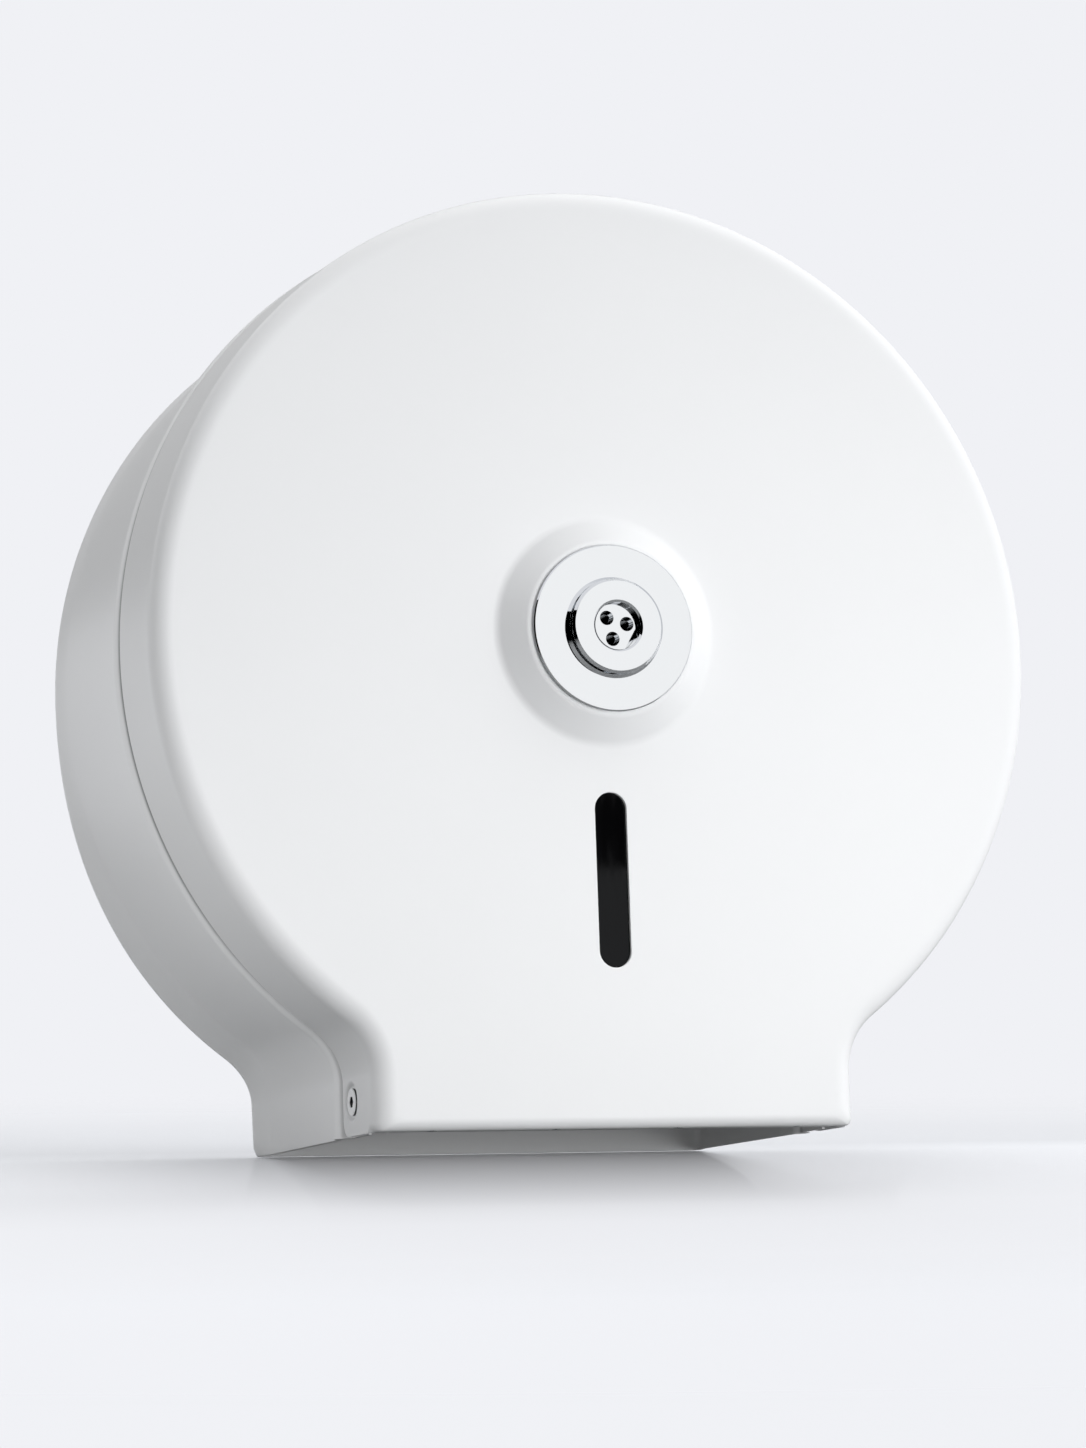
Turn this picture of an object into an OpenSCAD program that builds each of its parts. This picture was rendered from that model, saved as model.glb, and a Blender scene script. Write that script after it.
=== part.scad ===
// Jumbo toilet roll dispenser: two drawn steel shells, a key lock, a hinged cover and a turning roll carrier.
// Millimetres. +Z is up, the front faces -Y and the wall is the plane y = 0.
// The origin lies on the wall, at the centre of the round part of the casing.

/* [Casing] */
// Radius of the round part of the cover
cover_r = 145.5; // [144:0.5:148]
// Radius of the blend from the round part into the neck
neck_blend_r = 22; // [18:1:26]
// Centre of the round part down to the bottom edge
bottom_drop = 150.5; // [149:0.5:156]
// Wall to the flat face of the cover
face_depth = 134.5; // [133:0.5:138]
// Wall to the seam between the two shells
seam_depth = 100.5; // [99:0.5:102]
// Thickness of the painted sheet
sheet_t = 1.2; // [1:0.1:1.4]
// Radius of the rounded front edge
edge_r = 6; // [4:0.5:8]
// Radius of the rounded back edge
back_edge_r = 3; // [2:0.5:4]
// How far the side wall of the rear shell lies inside the outline of the cover
rear_inset = 2; // [1.8:0.1:2.4]
// Height of the bead that runs round the rear shell behind the seam
bead_h = 3.4; // [3:0.1:3.6]
// Length of the bottom edge that is turned back under the cover
hem_depth = 8; // [6:0.5:10]

/* [Boss and lock] */
// Height of the lock and the roll axis above the centre of the round part
axis_rise = 3.5; // [0:0.5:6]
// Radius of the raised boss where it leaves the face
boss_base_r = 35.5; // [34:0.5:38]
// Radius of the flat top of the boss
boss_top_r = 27.5; // [27:0.5:30]
// Height of the boss above the face
boss_h = 6.9; // [6:0.1:8]
// Radius of the bright disc
bezel_r = 26.2; // [24:0.2:26.6]
// Thickness of the bright disc
bezel_t = 1.5; // [1:0.1:2]
// Radius of the lock barrel
barrel_r = 14.8; // [14:0.1:16]
// How far the barrel stands out of the disc
barrel_h = 4.1; // [3:0.1:6]
// Radius of the turning key face
rotor_r = 7.4; // [7:0.1:7.6]
// How deep the key face lies in the barrel
key_recess = 2.8; // [2:0.1:3.4]
// Radius of the three key holes
key_hole_r = 2.25; // [1.8:0.05:2.4]
// Radius of the circle that the key holes lie on
key_pitch_r = 3.9; // [3.6:0.1:4.1]
// Turn of the first key hole from the horizontal, in degrees
key_turn = 15; // [0:1:40]

/* [Level slot] */
// Width of the slot
slot_w = 10.5; // [8:0.5:12]
// Overall length of the slot
slot_l = 54.5; // [50:0.5:58]
// Centre of the round part down to the middle of the slot
slot_drop = 74; // [72:0.5:76]

/* [Hinge] */
// Height of the hinge above the bottom edge
hinge_rise = 10.5; // [10:0.5:12]
// Distance of the hinge in front of the seam
hinge_ahead = 8; // [7.5:0.5:9]
// Radius of the dimple round each hinge screw
dimple_r = 6; // [5.8:0.1:6.4]
// Depth of the dimple
dimple_d = 1; // [0.8:0.1:1]

/* [Roll carrier] */
// Radius of the fixed spindle
spindle_r = 6; // [5.5:0.5:6.5]
// Outer radius of the carrier, which fills the card core of the roll
hub_r = 21; // [19:0.5:23]
// Radius of the flange that the roll leans on
hub_flange_r = 28; // [26:1:32]
// Wall to the front end of the carrier
hub_front = 88; // [84:1:88]

/* [Wall fixing] */
// Distance between the fixing holes from side to side
fix_w = 130; // [110:5:140]
// Distance between the fixing holes from top to bottom
fix_h = 110; // [100:5:120]
// Radius of the fixing holes
fix_r = 3; // [2.5:0.5:3.5]

/* [Hidden] */
$fn = 144;

paint_white = [0.92, 0.93, 0.94];
steel_grey = [0.62, 0.63, 0.65];
chrome_bright = [0.86, 0.87, 0.89];
moulded_grey = [0.45, 0.46, 0.48];
smoked_black = [0.06, 0.06, 0.07];

// Running clearance of everything that turns on a round seat
run_gap = 0.05;

// Centre of the blend into the neck: it lies on the long side of a 3-4-5 triangle from the centre of
// the round part, so that all arcs of the outline meet at round values
blend_x = 0.6 * (cover_r + neck_blend_r);
blend_y = -0.8 * (cover_r + neck_blend_r);
neck_half_w = blend_x - neck_blend_r;
neck_l = bottom_drop + blend_y;

// Middle of the bead of the rear shell
bead_depth = seam_depth - bead_h - 2;

// Lip of the rear shell that the cover closes over: where it steps in, how far its outside lies from
// the outline, and how far it reaches forward round the drum and along the neck
lip_step = seam_depth - 1.5;
lip_face = -rear_inset - 0.9;
lip_depth = seam_depth + 8.5;
ear_depth = seam_depth + 15.5;

// Hinge line, the screws' shoulder and thread, and the floor of the dish that seats their heads
hinge_y = hinge_rise - bottom_drop;
hinge_depth = seam_depth + hinge_ahead;
hinge_corner_r = 5;
shoulder_r = 3;
thread_r = 2;
dimple_floor = -dimple_d;
dimple_floor_r = 4.6;

// Depths along the lock, from the wall
boss_top = face_depth + boss_h;
bezel_front = boss_top + bezel_t;
barrel_front = bezel_front + barrel_h;
key_face = barrel_front - key_recess;
lock_shank_r = 9.5;
shank_back = 118;
shank_floor = 3;
rotor_shaft_r = 4;
tang_w = 5;
cam_front = 110;
cam_t = 2.5;
cam_reach = 15;
cam_w = 11;

// Depths along the spindle, from the wall
flange_front = sheet_t + 2;
flange_r = 30;
flange_boss_r = 10;
hub_back = 8;
spindle_front = 96;
spindle_thread_r = 4;
groove_depth = 91.2;
groove_w = 1.1;
groove_r = 5;
rivet_r = 2;
rivet_ring_r = 22;

// Strike that the latch plate turns behind
strike_half_w = 17;
strike_half_h = 11;
strike_base_t = 2;
strike_wall_t = 1.5;
strike_gap = 8;
strike_front = 113.5;

// Window behind the level slot
window_t = 2;
window_edge = 4;

// Bottom edge
blade_t = 0.8;
blade_l = 140;
tooth_pitch = 4;
tooth_h = 2.5;
blade_rivet_r = 1.6;
blade_rivet_x = [-60, -20, 20, 60];

// ---- placing ----

// Stands a shape up: its x stays, its y becomes height and its z becomes the distance from the wall
module stand() {
    rotate([90, 0, 0]) children();
}

// Both sides alike
module both_sides() {
    for (side = [0, 1]) mirror([side, 0, 0]) children();
}

// On the common axis of the lock, the spindle and the roll
module on_axis(depth = 0) {
    translate([0, axis_rise, depth]) children();
}

// On the two hinge screws, with z pointing outwards and 0 at the outside of the cover's flange
module on_hinges() {
    both_sides()
        translate([neck_half_w, hinge_y, hinge_depth])
            rotate([0, 90, 0]) children();
}

// A tube along z from depth a to depth b
module tube(outer, inner, a, b) {
    translate([0, 0, a])
        linear_extrude(height = b - a)
            difference() {
                circle(outer);
                circle(inner);
            }
}

// A round bar along z from depth a to depth b
module bar(r, a, b) {
    translate([0, 0, a]) cylinder(r = r, h = b - a);
}

// ---- outline of the casing ----

// A filled block with the outline of the casing, between two depths. The first child is its half section
// round the arcs of the outline and the second its half section along the neck, with x outwards from
// the outline and y from the wall. The block ends `below` under the bottom edge of the casing.
module block(back, front, below = 0) {
    spare = 10;
    rotate_extrude()
        translate([cover_r, 0]) children(0);
    difference() {
        translate([0, 0, back])
            linear_extrude(height = front - back)
                polygon([[0, 0], [blend_x, blend_y], [-blend_x, blend_y]]);
        both_sides()
            translate([blend_x, blend_y, 0])
                rotate_extrude()
                    translate([neck_blend_r, 0])
                        mirror([1, 0])
                            difference() {
                                translate([-spare, back - 1])
                                    square([neck_blend_r + spare, front - back + 2]);
                                children(0);
                            }
    }
    translate([0, blend_y, 0])
        rotate([90, 0, 0])
            linear_extrude(height = neck_l + below)
                for (side = [0, 1])
                    mirror([side, 0]) translate([neck_half_w, 0]) children(1);
}

// Half section that is filled from the middle out to x = side, between depths a and b, with the corner
// at depth a rounded by r
module filled(side, a, b, r = 0) {
    translate([-cover_r, a]) square([cover_r + side - r, b - a]);
    if (r > 0) {
        translate([-cover_r, a + r]) square([cover_r + side, b - a - r]);
        translate([side - r, a + r]) circle(r);
    }
}

// ---- rear shell ----

// Half section of the rear shell: its outside for t = 0 and the space inside it for t = sheet_t
module rear_section(t, front) {
    step = t > 0 ? lip_step - 2 * sheet_t : lip_step;
    filled(-rear_inset - t, t, step, back_edge_r - t);
    filled(lip_face - t, t + back_edge_r, front);
}

// Half-round bead behind the seam
module bead_section(t) {
    translate([-rear_inset, bead_depth]) circle(bead_h - t);
}

// What closes the two ends of the bead
module bead_ends() {
    r = bead_h - 0.4;
    both_sides()
        translate([neck_half_w - rear_inset, blend_y + sheet_t, bead_depth])
            rotate([90, 0, 0])
                linear_extrude(height = sheet_t)
                    intersection() {
                        circle(r);
                        translate([-sheet_t / 2, -r]) square(2 * r);
                    }
}

module fixing_holes() {
    for (x = [-1, 1], y = [-1, 1])
        translate([x * fix_w / 2, y * fix_h / 2]) circle(fix_r);
}

module rivet_ring() {
    for (a = [45 : 90 : 315])
        rotate(a) translate([rivet_ring_r, 0]) children();
}

module rear_casing() {
    color(paint_white) stand() difference() {
        union() {
            difference() {
                block(0, lip_depth) {
                    union() {
                        rear_section(0, lip_depth);
                        bead_section(0);
                    }
                    rear_section(0, ear_depth);
                }
                block(sheet_t, lip_depth + 1, 1) {
                    union() {
                        rear_section(sheet_t, lip_depth + 1);
                        bead_section(sheet_t);
                    }
                    rear_section(sheet_t, ear_depth + 1);
                }
            }
            bead_ends();
        }
        translate([0, 0, -1])
            linear_extrude(height = sheet_t + 2) {
                fixing_holes();
                translate([0, axis_rise]) rivet_ring() circle(rivet_r + run_gap);
            }
        on_hinges() bar(thread_r + run_gap, lip_face - 2 * sheet_t, 0);
    }
}

// ---- spindle and what holds it ----

module spindle_flange() {
    color(steel_grey) stand() on_axis() difference() {
        union() {
            bar(flange_r, sheet_t, flange_front);
            bar(flange_boss_r, flange_front, hub_back - 0.4);
        }
        bar(spindle_r + run_gap / 2, 0, hub_back);
        rivet_ring() bar(rivet_r + run_gap, 0, flange_front + 1);
    }
}

module spindle_rivets() {
    head_h = 1.5;
    color(steel_grey) stand() on_axis() rivet_ring() {
        bar(rivet_r, 0, flange_front);
        bar(1.8 * rivet_r, flange_front, flange_front + head_h);
    }
}

module spindle() {
    color(steel_grey) stand() on_axis() difference() {
        union() {
            bar(spindle_r, sheet_t, spindle_front);
            bar(spindle_thread_r, spindle_front, spindle_front + 7);
        }
        tube(spindle_r + 1, groove_r, groove_depth, groove_depth + groove_w);
    }
}

module hub_washer() {
    washer_r = 10;
    washer_t = 1;
    front = groove_depth - 0.1;
    color(steel_grey) stand() on_axis()
        tube(washer_r, spindle_r + run_gap, front - washer_t, front);
}

// Open ring that snaps into the groove of the spindle
module hub_clip() {
    clip_r = 9.5;
    mouth = 1.5 * groove_r;
    color(steel_grey) stand() on_axis(groove_depth + run_gap)
        linear_extrude(height = groove_w - 2 * run_gap)
            difference() {
                circle(clip_r);
                circle(groove_r + run_gap);
                translate([-mouth / 2, -clip_r - 1]) square([mouth, clip_r + 1]);
            }
}

// ---- strike ----

module strike_bracket() {
    inner_w = strike_half_w - strike_wall_t;
    color(steel_grey) stand() on_axis() difference() {
        union() {
            translate([-strike_half_w, -strike_half_h, spindle_front])
                cube([2 * strike_half_w, 2 * strike_half_h, strike_base_t]);
            both_sides() {
                translate([inner_w, -strike_half_h, spindle_front])
                    cube([strike_wall_t, 2 * strike_half_h, strike_front - spindle_front]);
                translate([strike_gap, -strike_half_h, strike_front - strike_wall_t])
                    cube([strike_half_w - strike_gap, 2 * strike_half_h, strike_wall_t]);
            }
        }
        bar(spindle_thread_r + run_gap, spindle_front - 1, spindle_front + strike_base_t + 1);
    }
}

// Hexagon nut between depths a and b, with the given width across its flats
module hex_nut(flats, bore, a, b) {
    translate([0, 0, a])
        linear_extrude(height = b - a)
            difference() {
                circle(flats / sqrt(3), $fn = 6);
                circle(bore);
            }
}

module strike_nut() {
    flats = 13;
    nut_t = 4;
    seat = spindle_front + strike_base_t;
    color(steel_grey) stand() on_axis()
        hex_nut(flats, spindle_thread_r + run_gap, seat, seat + nut_t);
}

// ---- hinge ----

module hinge_screws() {
    head_t = 0.9;
    head_r = 4.2;
    tail_l = 6;
    socket_r = 1.9;
    socket_l = 3;
    color(steel_grey) stand() on_hinges() difference() {
        union() {
            bar(head_r, dimple_floor + run_gap, dimple_floor + head_t);
            bar(shoulder_r, lip_face, dimple_floor + run_gap);
            bar(thread_r, lip_face - tail_l, lip_face);
        }
        translate([0, 0, dimple_floor - 1]) cylinder(r = socket_r, h = socket_l, $fn = 6);
    }
}

module hinge_washers() {
    washer_r = 5.5;
    color(moulded_grey) stand() on_hinges()
        tube(washer_r, shoulder_r + run_gap, lip_face + run_gap, dimple_floor - sheet_t - run_gap);
}

module hinge_nuts() {
    flats = 7;
    nut_t = 3.2;
    seat = lip_face - sheet_t;
    color(steel_grey) stand() on_hinges()
        hex_nut(flats, thread_r + run_gap, seat - nut_t, seat);
}

// ---- roll carrier ----

module roll_hub() {
    rim_t = 2;
    web_t = 2.5;
    sleeve_r = 9;
    rib_t = 1.6;
    color(moulded_grey) stand() on_axis() difference() {
        union() {
            bar(hub_flange_r, hub_back, hub_back + web_t);
            tube(hub_r, hub_r - rim_t, hub_back, hub_front);
            bar(sleeve_r, hub_back, hub_front);
            for (a = [30 : 60 : 330])
                rotate(a)
                    translate([sleeve_r - 1, -rib_t / 2, hub_back])
                        cube([hub_r - rim_t - sleeve_r + 1.5, rib_t, hub_front - hub_back - 8]);
        }
        bar(spindle_r + run_gap, 0, hub_front + 1);
    }
}

module hub_end_cap() {
    cap_t = 1.6;
    spigot_l = 6;
    color(moulded_grey) stand() on_axis() {
        tube(hub_r, spindle_r + 0.4, hub_front, hub_front + cap_t);
        tube(hub_r - 2.2, hub_r - 4, hub_front - spigot_l, hub_front);
    }
}

// ---- front cover ----

// Half section of the cover: its outside for t = 0 and the space inside it for t = sheet_t
module cover_section(t, back) {
    translate([0, face_depth])
        mirror([0, 1]) filled(-t, t, face_depth - back, edge_r - t);
}

// Drawn boss with the lock hole in its flat top
module boss() {
    run = boss_base_r - boss_top_r;
    inner = sheet_t * (sqrt(run * run + boss_h * boss_h) - run) / boss_h;
    hole = lock_shank_r + run_gap;
    rotate_extrude()
        polygon([
            [hole, boss_top], [boss_top_r, boss_top], [boss_base_r, face_depth],
            [boss_base_r + 1, face_depth], [boss_base_r + 1, face_depth - sheet_t],
            [boss_base_r - inner, face_depth - sheet_t],
            [boss_top_r - inner, boss_top - sheet_t], [hole, boss_top - sheet_t]
        ]);
}

module level_slot(grow = 0) {
    w = slot_w + 2 * grow;
    l = slot_l + 2 * grow;
    translate([0, -slot_drop]) {
        square([w, l - w], center = true);
        for (end = [-1, 1])
            translate([0, end * (l - w) / 2]) circle(w / 2);
    }
}

// Round dish that seats the head of a hinge screw
module hinge_dimple() {
    rotate_extrude()
        polygon([
            [shoulder_r + run_gap, dimple_floor], [dimple_floor_r, dimple_floor], [dimple_r, 0],
            [dimple_r + 1, 0], [dimple_r + 1, -sheet_t], [dimple_r, -sheet_t],
            [dimple_floor_r, dimple_floor - sheet_t],
            [shoulder_r + run_gap, dimple_floor - sheet_t]
        ]);
}

// What is cut off the lower back corner of each flange, so that it swings clear of the bead
module flange_corner_cut() {
    both_sides()
        translate([neck_half_w - 2 * sheet_t, -bottom_drop, seam_depth])
            rotate([90, 0, 90])
                linear_extrude(height = 3 * sheet_t)
                    difference() {
                        translate([-1, -1]) square(hinge_corner_r + 1);
                        translate([hinge_corner_r, hinge_corner_r]) circle(hinge_corner_r);
                    }
}

module front_cover() {
    hem_half_w = neck_half_w - edge_r;
    color(paint_white) stand() {
        difference() {
            block(seam_depth, face_depth) {
                cover_section(0, seam_depth);
                cover_section(0, seam_depth);
            }
            block(seam_depth - 1, face_depth - sheet_t, 1) {
                cover_section(sheet_t, seam_depth - 1);
                cover_section(sheet_t, seam_depth - 1);
            }
            translate([0, 0, face_depth - 2 * sheet_t])
                linear_extrude(height = 3 * sheet_t) {
                    translate([0, axis_rise]) circle(boss_base_r);
                    level_slot();
                }
            flange_corner_cut();
            on_hinges() bar(dimple_r, -2 * sheet_t, sheet_t);
        }
        on_axis() boss();
        on_hinges() hinge_dimple();
        difference() {
            translate([-hem_half_w, -bottom_drop, face_depth - hem_depth])
                cube([2 * hem_half_w, sheet_t, hem_depth]);
            blade_rivet_places() bar(blade_rivet_r + run_gap, -1, 3);
        }
    }
}

// ---- lock ----

module lock_bezel() {
    round_r = 0.5;
    bore = lock_shank_r + run_gap;
    color(chrome_bright) stand() on_axis() rotate_extrude() {
        translate([bore, boss_top]) square([bezel_r - bore, bezel_t - round_r]);
        translate([bore, boss_top]) square([bezel_r - bore - round_r, bezel_t]);
        translate([bezel_r - round_r, bezel_front - round_r]) circle(round_r, $fn = 48);
    }
}

module lock_body() {
    collar_h = 1.5;
    groove_h = 0.6;
    groove_d = 0.9;
    lip_r = 0.6;
    color(chrome_bright) stand() on_axis() difference() {
        union() {
            bar(barrel_r + 0.6, bezel_front, bezel_front + collar_h);
            bar(barrel_r - groove_d, bezel_front + collar_h, bezel_front + collar_h + groove_h);
            bar(barrel_r, bezel_front + collar_h + groove_h, barrel_front - lip_r);
            bar(barrel_r - lip_r, barrel_front - lip_r, barrel_front);
            translate([0, 0, barrel_front - lip_r])
                rotate_extrude() translate([barrel_r - lip_r, 0]) circle(lip_r, $fn = 48);
            bar(lock_shank_r, shank_back, bezel_front);
        }
        bar(rotor_r + run_gap, shank_back + shank_floor, barrel_front + 1);
        bar(rotor_shaft_r + run_gap, shank_back - 1, shank_back + shank_floor + 1);
    }
}

module lock_washer() {
    washer_r = 15;
    color(steel_grey) stand() on_axis()
        tube(washer_r, lock_shank_r + run_gap, boss_top - 2 * sheet_t, boss_top - sheet_t);
}

module lock_nut() {
    flats = 24;
    nut_t = 6;
    seat = boss_top - 2 * sheet_t;
    color(steel_grey) stand() on_axis()
        hex_nut(flats, lock_shank_r + run_gap, seat - nut_t, seat);
}

// The key face with its three holes and one flat side, and the shaft that carries the latch plate
module lock_rotor() {
    flat_at = 5.9;
    flat_turn = -30;
    flat_l = 2;
    hole_l = 7;
    back = shank_back + shank_floor + run_gap;
    color(chrome_bright) stand() on_axis() difference() {
        union() {
            bar(rotor_r, back, key_face);
            bar(rotor_shaft_r, cam_front, back);
            translate([-tang_w / 2, -tang_w / 2, cam_front - cam_t])
                cube([tang_w, tang_w, cam_t]);
        }
        for (k = [0 : 2])
            rotate(key_turn + 120 * k)
                translate([key_pitch_r, 0, 0]) bar(key_hole_r, key_face - hole_l, key_face + 1);
        rotate(flat_turn)
            translate([flat_at, -rotor_r, key_face - flat_l])
                cube([rotor_r, 2 * rotor_r, flat_l + 1]);
        bar(1.5 + run_gap, cam_front - cam_t - 1, cam_front + 6);
    }
}

module lock_cam() {
    eye_r = 7.5;
    color(steel_grey) stand() on_axis(cam_front - cam_t)
        linear_extrude(height = cam_t)
            difference() {
                intersection() {
                    union() {
                        circle(eye_r);
                        square([cam_w, 2 * cam_reach], center = true);
                    }
                    circle(cam_reach);
                }
                square(tang_w + 2 * run_gap, center = true);
            }
}

module cam_screw() {
    head_t = 2.2;
    head_r = 4;
    under = cam_front - cam_t;
    color(steel_grey) stand() on_axis() difference() {
        union() {
            bar(head_r, under - head_t, under);
            bar(1.5, under, cam_front + 5);
        }
        translate([-head_r - 1, -0.5, under - head_t - 1]) cube([2 * head_r + 2, 1, 2]);
    }
}

// ---- level window ----

module level_window() {
    color(smoked_black) stand()
        translate([0, 0, face_depth - sheet_t - window_t])
            linear_extrude(height = window_t) level_slot(window_edge);
}

// Bent strips that press the ends of the window against the cover
module window_clips() {
    clip_w = 8;
    clip_t = 1;
    grip = 3;
    foot_l = 8;
    back = face_depth - sheet_t - window_t;
    end_y = slot_l / 2 + window_edge;
    color(steel_grey) stand()
        for (end = [-1, 1])
            translate([0, end * end_y - slot_drop, 0])
                mirror([0, end < 0 ? 1 : 0, 0]) {
                    translate([-clip_w / 2, -grip, back - clip_t])
                        cube([clip_w, grip + clip_t + 0.1, clip_t]);
                    translate([-clip_w / 2, 0.1, back - clip_t])
                        cube([clip_w, clip_t, window_t + clip_t]);
                    translate([-clip_w / 2, 0.1, face_depth - sheet_t - clip_t])
                        cube([clip_w, foot_l, clip_t]);
                }
}

// ---- tear blade ----

module blade_rivet_places() {
    for (x = blade_rivet_x)
        translate([x, -bottom_drop, face_depth - hem_depth / 2])
            rotate([-90, 0, 0]) children();
}

// Toothed strip on the turned-in bottom edge, with its teeth pointing to the wall
module tear_blade() {
    teeth = blade_l / tooth_pitch;
    saw = [for (k = [0 : teeth - 1]) each [
        [k * tooth_pitch - blade_l / 2, 0],
        [(k + 0.5) * tooth_pitch - blade_l / 2, -tooth_h]
    ]];
    color(chrome_bright) stand() difference() {
        translate([0, -bottom_drop + sheet_t + blade_t, face_depth - hem_depth])
            rotate([90, 0, 0])
                linear_extrude(height = blade_t)
                    polygon(concat(saw, [
                        [blade_l / 2, 0], [blade_l / 2, hem_depth - 2], [-blade_l / 2, hem_depth - 2]
                    ]));
        blade_rivet_places() bar(blade_rivet_r + run_gap, 0, 3);
    }
}

module blade_rivets() {
    top = sheet_t + blade_t;
    color(steel_grey) stand() blade_rivet_places() {
        bar(blade_rivet_r, 0, top);
        bar(1.7 * blade_rivet_r, top, top + 1);
    }
}

rear_casing();
spindle_flange();
spindle_rivets();
spindle();
hub_washer();
hub_clip();
strike_bracket();
strike_nut();
hinge_screws();
hinge_washers();
hinge_nuts();
roll_hub();
hub_end_cap();
front_cover();
lock_bezel();
lock_body();
lock_washer();
lock_nut();
level_window();
window_clips();
tear_blade();
blade_rivets();
lock_rotor();
lock_cam();
cam_screw();
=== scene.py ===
"""Looks of a round wall dispenser for a large toilet roll, laid out as an add-on and run as a script."""

import math

import bmesh
import bpy
from bpy.props import FloatProperty, FloatVectorProperty, PointerProperty, StringProperty
from mathutils import Matrix, Vector


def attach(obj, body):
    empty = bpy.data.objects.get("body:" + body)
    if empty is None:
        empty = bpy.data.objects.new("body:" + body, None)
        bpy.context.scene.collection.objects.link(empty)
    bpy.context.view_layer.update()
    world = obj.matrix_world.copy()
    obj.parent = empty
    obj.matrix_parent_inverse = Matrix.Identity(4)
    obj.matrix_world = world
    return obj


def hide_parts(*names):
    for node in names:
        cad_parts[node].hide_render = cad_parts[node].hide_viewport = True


bl_info = {
    "name": "Jumbo roll dispenser",
    "version": (1, 0, 0),
    "blender": (4, 5, 0),
    "location": "3D View > Sidebar > Dispenser",
    "description": "Dresses the dispenser's frame with drawn sheet shells, a turned lock and real finishes",
    "category": "Add Mesh",
}

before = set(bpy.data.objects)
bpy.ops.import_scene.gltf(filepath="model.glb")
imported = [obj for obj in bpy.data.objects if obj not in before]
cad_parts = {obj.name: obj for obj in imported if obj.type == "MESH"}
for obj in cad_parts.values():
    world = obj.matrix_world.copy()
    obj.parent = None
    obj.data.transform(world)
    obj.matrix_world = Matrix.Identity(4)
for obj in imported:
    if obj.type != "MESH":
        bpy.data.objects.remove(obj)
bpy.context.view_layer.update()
MM = 0.001

# the way from the centre of the round part to the blend's centre: the long side of a 3-4-5 triangle
ACROSS, DOWN = 0.6, 0.8
# share of the rear swell that is left at each step down the neck
NECK_SWELL = (0.54, 0.53, 0.52, 0.51, 0.5, 0.46, 0.25)
# the hinge's height above the centre and its depth from the wall
HINGE_HEIGHT, HINGE_DEPTH = -0.14, 0.1085
# corner radii of the cover's flank, in front at the foot and behind at the foot
FRONT_CORNER, BACK_CORNER = 2.5 * MM, 5 * MM
# edges of a piece that bend by more than this are drawn sharp
SHARP = math.radians(32)
# distance of the edge of a hinge screw's socket from the middle plane
SOCKET_EDGE = 78.2 * MM
# tones inside the finishes: painted shade in the groove at the seam and in a screw's socket, a painted
# shadow on the floor behind the dispenser, and the floor as every ray but the camera's meets it
SEAM_SHADE, SOCKET_SHADE = "#7c7d7e", "#2a2b2c"
FLOOR_SHADOW_BEHIND, FLOOR_BOUNCE = "#d0d2d6", "#8e8f90"
# half the floor's length and width, and where its dip begins and ends in front of the wall plane
FLOOR_REACH = 1.3
DIP_START, DIP_END = 5 * MM, 230 * MM


# ---- sizes and colours a user would change ----


class CasingSizes(bpy.types.PropertyGroup):
    """Sizes of the two drawn shells."""

    radius: FloatProperty(
        name="Cover radius", description="Radius of the round part of the cover",
        default=0.1455, min=0.1, max=0.2, unit="LENGTH")
    blend: FloatProperty(
        name="Neck blend", description="Radius of the blend from the round part into the neck",
        default=0.022, min=0.01, max=0.04, unit="LENGTH")
    drop: FloatProperty(
        name="Bottom drop", description="Centre of the round part down to the bottom edge",
        default=0.1505, min=0.12, max=0.2, unit="LENGTH")
    face: FloatProperty(
        name="Face depth", description="Wall to the flat face of the cover",
        default=0.1345, min=0.08, max=0.2, unit="LENGTH")
    seam: FloatProperty(
        name="Seam depth", description="Wall to the seam between the shells",
        default=0.1005, min=0.06, max=0.15, unit="LENGTH")
    sheet: FloatProperty(
        name="Sheet thickness", description="Thickness of the painted sheet",
        default=0.0012, min=0.0006, max=0.002, unit="LENGTH")
    edge: FloatProperty(
        name="Edge radius", description="Radius of the rounded front edge at the sides",
        default=0.0062, min=0.003, max=0.008, unit="LENGTH")
    foot_edge: FloatProperty(
        name="Bottom edge radius", description="Radius of the rounded front edge at the bottom",
        default=0.0034, min=0.002, max=0.006, unit="LENGTH")
    hem: FloatProperty(
        name="Hem", description="Length of the bottom edge that is turned back under the cover",
        default=0.008, min=0.005, max=0.012, unit="LENGTH")
    draft: FloatProperty(
        name="Draft", description="How much wider the cover's rim is at the seam than at its rounded edge",
        default=0.0012, min=0.0, max=0.0014, unit="LENGTH")
    bead: FloatProperty(
        name="Bead height", description="How far the bead behind the seam stands out of the side wall",
        default=0.0030, min=0.001, max=0.0032, unit="LENGTH")
    flare: FloatProperty(
        name="Rear flare", description="How far the rear rim flares out of the side wall",
        default=0.0009, min=0.0, max=0.0015, unit="LENGTH")
    swell: FloatProperty(
        name="Rear swell",
        description="How much further the rear rim flares where the round part runs into the neck",
        default=0.0046, min=0.0, max=0.006, unit="LENGTH")


class LockSizes(bpy.types.PropertyGroup):
    """Sizes of the boss and the lock."""

    rise: FloatProperty(
        name="Axis rise", description="Height of the lock above the centre of the round part",
        default=0.0035, unit="LENGTH")
    boss_base: FloatProperty(
        name="Boss base radius", description="Radius of the boss where it leaves the face",
        default=0.0355, unit="LENGTH")
    boss_top: FloatProperty(
        name="Boss top radius", description="Radius of the flat top of the boss",
        default=0.0275, unit="LENGTH")
    boss_height: FloatProperty(
        name="Boss height", description="Height of the boss above the face",
        default=0.0069, unit="LENGTH")
    disc: FloatProperty(
        name="Disc radius", description="Radius of the bright disc",
        default=0.0262, unit="LENGTH")
    barrel: FloatProperty(
        name="Barrel radius", description="Radius of the lock barrel",
        default=0.0148, unit="LENGTH")


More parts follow.
